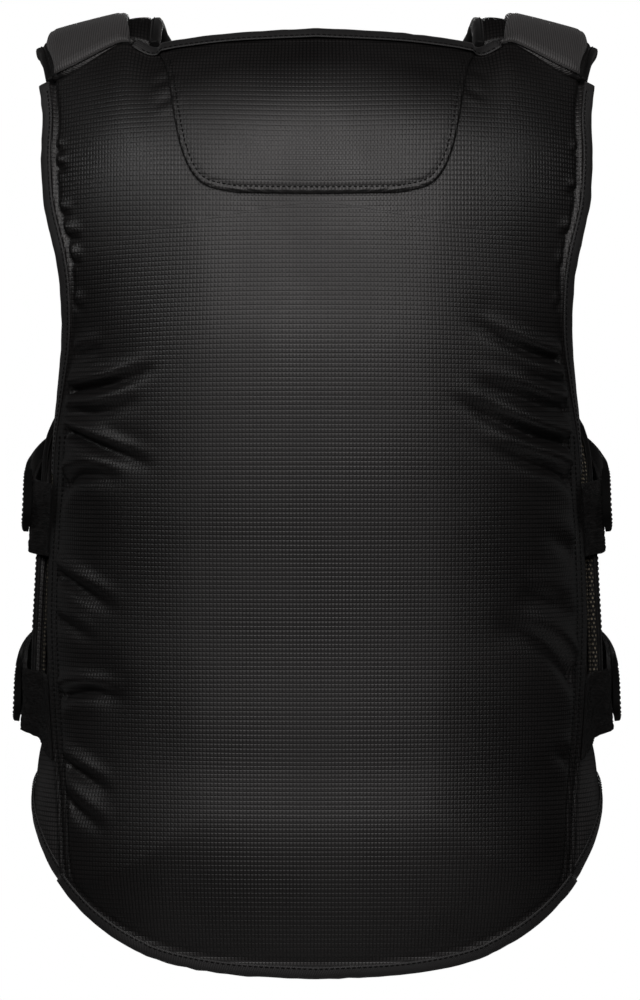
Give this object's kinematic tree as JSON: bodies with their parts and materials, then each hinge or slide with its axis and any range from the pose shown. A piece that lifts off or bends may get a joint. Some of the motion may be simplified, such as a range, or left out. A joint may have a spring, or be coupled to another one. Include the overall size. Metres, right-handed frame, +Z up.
{
  "type": "equestrian body protector",
  "caption": "Padded riding body protector with a long rounded tail, front zip, flaps over the shoulders and hook-and-loop side straps, in the shape it has when worn.",
  "frame": {"origin": "midway between the shoulders, at the height where the protector rests on the wearer's shoulders", "axes": "+Z up, +Y towards the wearer's back, +X towards the wearer's left"},
  "size_m": [0.3826, 0.258, 0.5971],
  "materials": {
    "shell": "matt grid-woven shell",
    "tape": "smooth woven tape",
    "loop": "fuzzy loop fabric",
    "mesh": "coarse mesh lining",
    "zip": "plastic zip"
  },
  "bodies": {
    "root": {"back_panel": "shell", "neck_yoke": "shell", "neck_binding": "tape", "armhole_binding_left": "tape", "armhole_binding_right": "tape", "hem_binding": "tape", "front_zip": "zip", "wing_left": "shell", "wing_right": "shell", "front_half_left": "shell", "front_half_right": "shell", "front_lining_left": "mesh", "front_lining_right": "mesh", "front_binding_left": "tape", "front_binding_right": "tape", "front_armhole_binding_left": "tape", "front_armhole_binding_right": "tape", "shoulder_flap_left": "shell", "shoulder_flap_right": "shell", "strap_upper_left": "loop", "strap_upper_right": "loop", "strap_lower_left": "loop", "strap_lower_right": "loop", "tab_upper_left": "tape", "tab_upper_right": "tape", "tab_lower_left": "tape", "tab_lower_right": "tape"}
  },
  "joints": []
}
